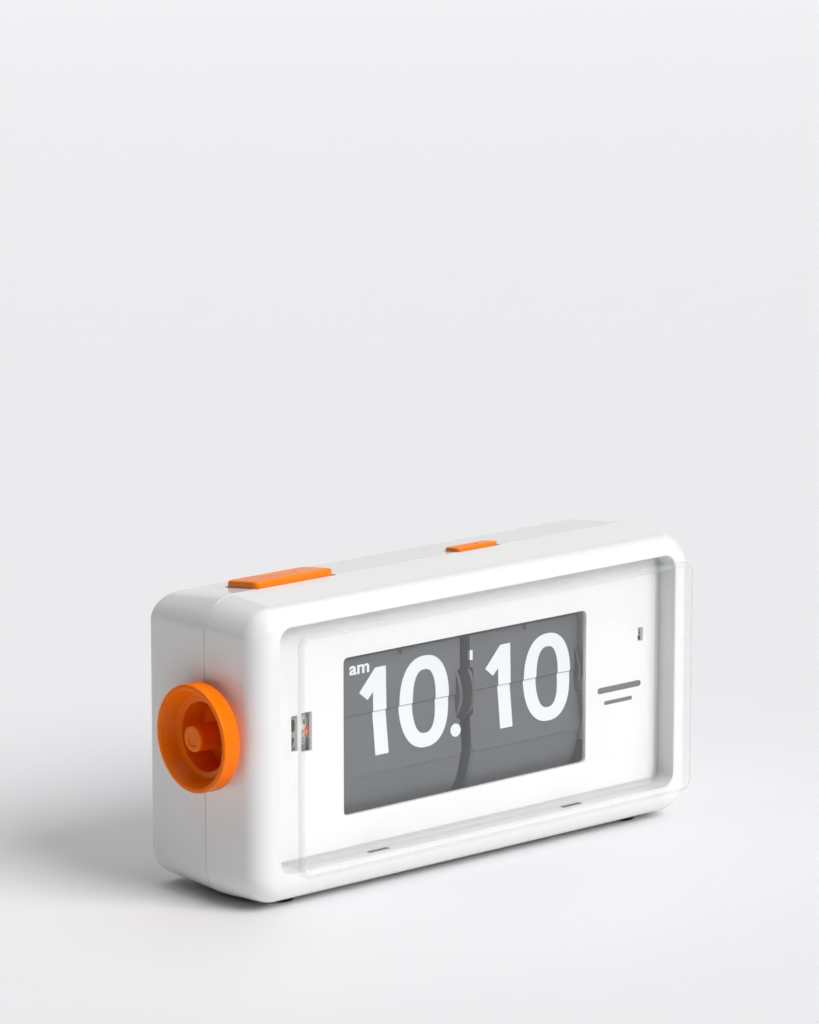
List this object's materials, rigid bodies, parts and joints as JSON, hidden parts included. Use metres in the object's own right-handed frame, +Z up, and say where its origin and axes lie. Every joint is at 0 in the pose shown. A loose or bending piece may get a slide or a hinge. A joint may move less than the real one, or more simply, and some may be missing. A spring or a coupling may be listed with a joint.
{
  "type": "flip number clock",
  "caption": "Battery desk clock: rounded oblong case, clear front cover, split leaves that show hour and minute, side wheel for alarm and time setting, top buttons.",
  "frame": {"origin": "middle of the outer box from left to right and from front to back, on the plane that the feet stand on", "axes": "+X to the viewer's right along the front, +Y towards the back, +Z up"},
  "size_m": [0.1934, 0.0624, 0.098],
  "materials": {
    "white_gloss": "polished white moulding",
    "clear_cover": "clear polished acrylic",
    "orange_plastic": "satin, faint moulded grain",
    "leaf_grey": "satin printed sheet",
    "white_satin": "satin",
    "dark_plastic": "matte",
    "steel": "plain rolled",
    "brass": "machined",
    "rubber": "matte",
    "board": "lacquered laminate",
    "cell": "satin foil label"
  },
  "bodies": {
    "case": {"front_shell": "white_gloss", "rear_shell": "white_gloss", "front_lens": "clear_cover", "dial_plate": "white_gloss", "alarm_pointer": "orange_plastic", "case_screw_lower_left": "steel", "case_screw_upper_left": "steel", "case_screw_lower_right": "steel", "case_screw_upper_right": "steel", "foot_front_left": "rubber", "foot_rear_left": "rubber", "foot_front_right": "rubber", "foot_rear_right": "rubber", "frame_plate_left": "white_satin", "frame_plate_right": "white_satin", "frame_bar_top": "steel", "frame_bar_rear_upper": "steel", "frame_bar_rear_lower": "steel", "hour_leaves_hanging": "leaf_grey", "hour_leaves_standing": "leaf_grey", "minute_leaves_hanging": "leaf_grey", "minute_leaves_standing": "leaf_grey", "hour_retaining_finger": "dark_plastic", "minute_retaining_finger": "dark_plastic", "carry_bracket": "steel", "quartz_drive": "dark_plastic", "battery_holder": "dark_plastic", "battery_cell": "cell", "battery_contact_minus": "steel", "battery_contact_plus": "steel", "circuit_board": "board", "buzzer": "dark_plastic", "switch_board": "board", "lamp": "white_satin", "alarm_switch": "dark_plastic", "light_switch": "dark_plastic", "alarm_button_spring": "steel", "light_button_spring": "steel"},
    "time_setter": {"time_knob": "orange_plastic", "minute_drum": "dark_plastic", "minute_drum_gear": "brass", "carry_pinion": "brass"},
    "alarm_setter": {"alarm_wheel": "orange_plastic", "alarm_drum": "white_satin"},
    "hour_roll": {"hour_drum": "dark_plastic", "hour_drum_gear": "brass"},
    "carry": {"carry_gear": "white_satin"},
    "idler": {"idler_gear": "brass"},
    "drive": {"drive_pinion": "brass"},
    "indicator": {"indicator_disc": "white_satin"},
    "indicator_driver": {"indicator_pinion": "brass"},
    "hour_leaf": {"hour_falling_leaf": "leaf_grey"},
    "minute_leaf": {"minute_falling_leaf": "leaf_grey"},
    "alarm_key": {"alarm_button": "orange_plastic"},
    "light_key": {"light_button": "orange_plastic"},
    "door": {"battery_door": "white_gloss"}
  },
  "joints": [
    {"name": "time_setting", "type": "hinge", "parent": "case", "child": "time_setter", "pos_m": [0.0042, -0.00055, 0.054], "axis": [1, 0, 0], "continuous": true},
    {"name": "alarm_setting", "type": "hinge", "parent": "case", "child": "alarm_setter", "pos_m": [-0.0858, -0.00055, 0.054], "axis": [1, 0, 0], "continuous": true},
    {"name": "hour_roll_turn", "type": "hinge", "parent": "case", "child": "hour_roll", "pos_m": [-0.0208, -0.00055, 0.054], "axis": [1, 0, 0], "continuous": true},
    {"name": "carry_turn", "type": "hinge", "parent": "case", "child": "carry", "pos_m": [0.0057, 0.01007, 0.054], "axis": [1, 0, 0], "continuous": true},
    {"name": "idler_turn", "type": "hinge", "parent": "case", "child": "idler", "pos_m": [0.0557, 0.0088, 0.07068], "axis": [1, 0, 0], "continuous": true},
    {"name": "drive_turn", "type": "hinge", "parent": "case", "child": "drive", "pos_m": [0.0557, 0.01313, 0.08253], "axis": [1, 0, 0], "continuous": true},
    {"name": "indicator_turn", "type": "hinge", "parent": "case", "child": "indicator", "pos_m": [0.0726, -0.01225, 0.0665], "axis": [0, 1, 0], "continuous": true},
    {"name": "indicator_driver_turn", "type": "hinge", "parent": "case", "child": "indicator_driver", "pos_m": [0.0726, -0.01225, 0.08285], "axis": [0, 1, 0], "continuous": true},
    {"name": "hour_leaf_fall", "type": "hinge", "parent": "case", "child": "hour_leaf", "pos_m": [-0.02115, -0.01055, 0.054], "axis": [1, 0, 0], "range_deg": [0, 173]},
    {"name": "minute_leaf_fall", "type": "hinge", "parent": "case", "child": "minute_leaf", "pos_m": [0.0311, -0.01055, 0.054], "axis": [1, 0, 0], "range_deg": [0, 173]},
    {"name": "alarm_button_press", "type": "slide", "parent": "case", "child": "alarm_key", "axis": [0, 0, -1], "range_m": [0, 0.0018], "stiffness_N_per_m": 250, "springref_m": -0.001, "deforming": ["alarm_button_spring"]},
    {"name": "light_button_press", "type": "slide", "parent": "case", "child": "light_key", "axis": [0, 0, -1], "range_m": [0, 0.0018], "stiffness_N_per_m": 250, "springref_m": -0.001, "deforming": ["light_button_spring"]},
    {"name": "battery_door_turn", "type": "hinge", "parent": "case", "child": "door", "pos_m": [0.0755, 0.03115, 0.0158], "axis": [-1, 0, 0], "range_deg": [0, 95]}
  ],
  "couplings": [
    {"joint": "hour_roll_turn", "follows": "time_setting", "ratio": 0.041667},
    {"joint": "carry_turn", "follows": "time_setting", "ratio": -0.25},
    {"joint": "idler_turn", "follows": "time_setting", "ratio": -0.9},
    {"joint": "drive_turn", "follows": "time_setting", "ratio": 3.6},
    {"joint": "indicator_driver_turn", "follows": "indicator_turn", "ratio": -1.1852}
  ]
}
